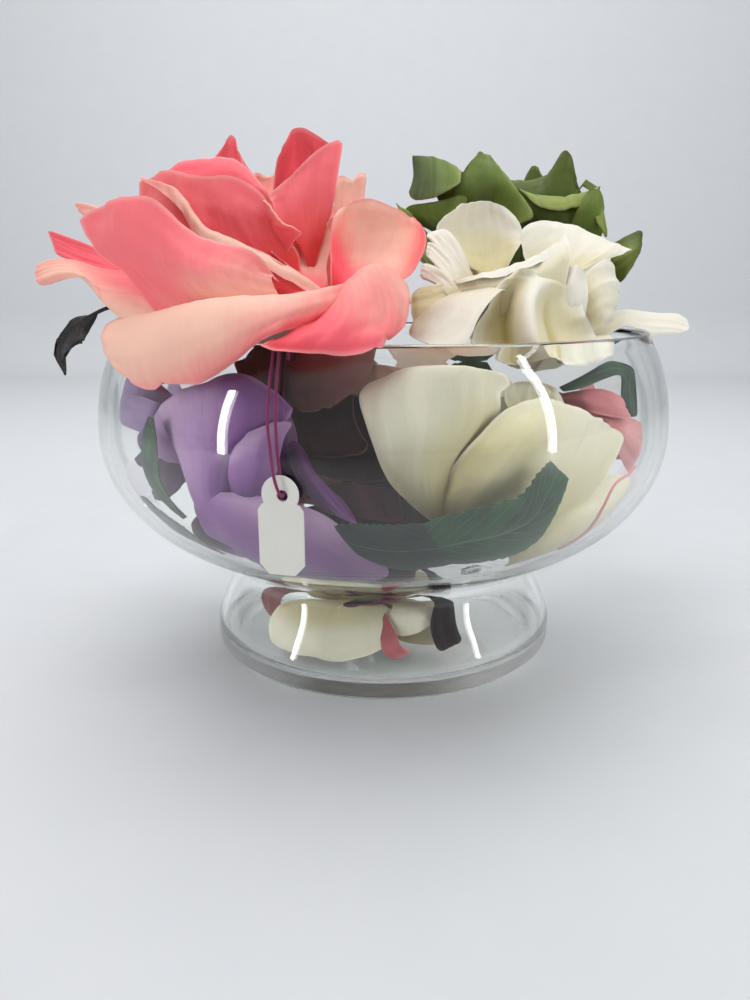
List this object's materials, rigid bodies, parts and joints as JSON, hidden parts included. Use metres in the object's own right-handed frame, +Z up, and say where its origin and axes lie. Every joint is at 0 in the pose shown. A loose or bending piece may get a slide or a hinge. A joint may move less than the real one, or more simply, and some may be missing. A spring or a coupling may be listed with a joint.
{
  "type": "rose bowl arrangement",
  "caption": "Low footed clear glass bowl filled and heaped with loose artificial roses and leaves, with a blank string tag hanging over its lip.",
  "frame": {"origin": "centre of the flat underside of the bowl's foot", "axes": "+Z up; -Y towards the viewer of the picture; +X to the viewer's right"},
  "size_m": [0.2126, 0.1904, 0.1768],
  "materials": {
    "clear_glass": "clear, polished",
    "coral_silk": "artificial silk, satin",
    "ivory_silk": "artificial silk, satin",
    "olive_silk": "artificial silk, satin",
    "purple_silk": "artificial silk, satin",
    "mauve_silk": "artificial silk, satin",
    "burgundy_silk": "artificial silk, satin",
    "dusty_pink_silk": "artificial silk, satin",
    "lilac_silk": "artificial silk, satin",
    "leaf_green": "artificial leaf, matt",
    "leaf_dark": "artificial leaf, dark, matt",
    "white_card": "coated white card, blank",
    "magenta_thread": "twisted thread",
    "silver_wire": "bright wire"
  },
  "bodies": {
    "root": {"glass_bowl": "clear_glass", "coral_rose": "coral_silk", "ivory_rose_top": "ivory_silk", "green_rose": "olive_silk", "purple_rose": "purple_silk", "ivory_rose_front": "ivory_silk", "mauve_rose": "mauve_silk", "burgundy_rose": "burgundy_silk", "dusty_pink_rose": "dusty_pink_silk", "lilac_rose": "lilac_silk", "foot_rose": "ivory_silk", "lilac_rose_back": "lilac_silk", "peach_rose_back": "coral_silk", "purple_rose_back": "purple_silk", "leaf_front": "leaf_green", "leaf_front_dark": "leaf_dark", "leaf_left": "leaf_green", "leaf_left_dark": "leaf_dark", "leaf_back": "leaf_green", "leaf_back_right": "leaf_green", "leaf_back_left": "leaf_green", "price_tag": "white_card", "tag_thread": "magenta_thread", "silver_wire_front": "silver_wire", "silver_wire_left": "silver_wire"}
  },
  "joints": []
}
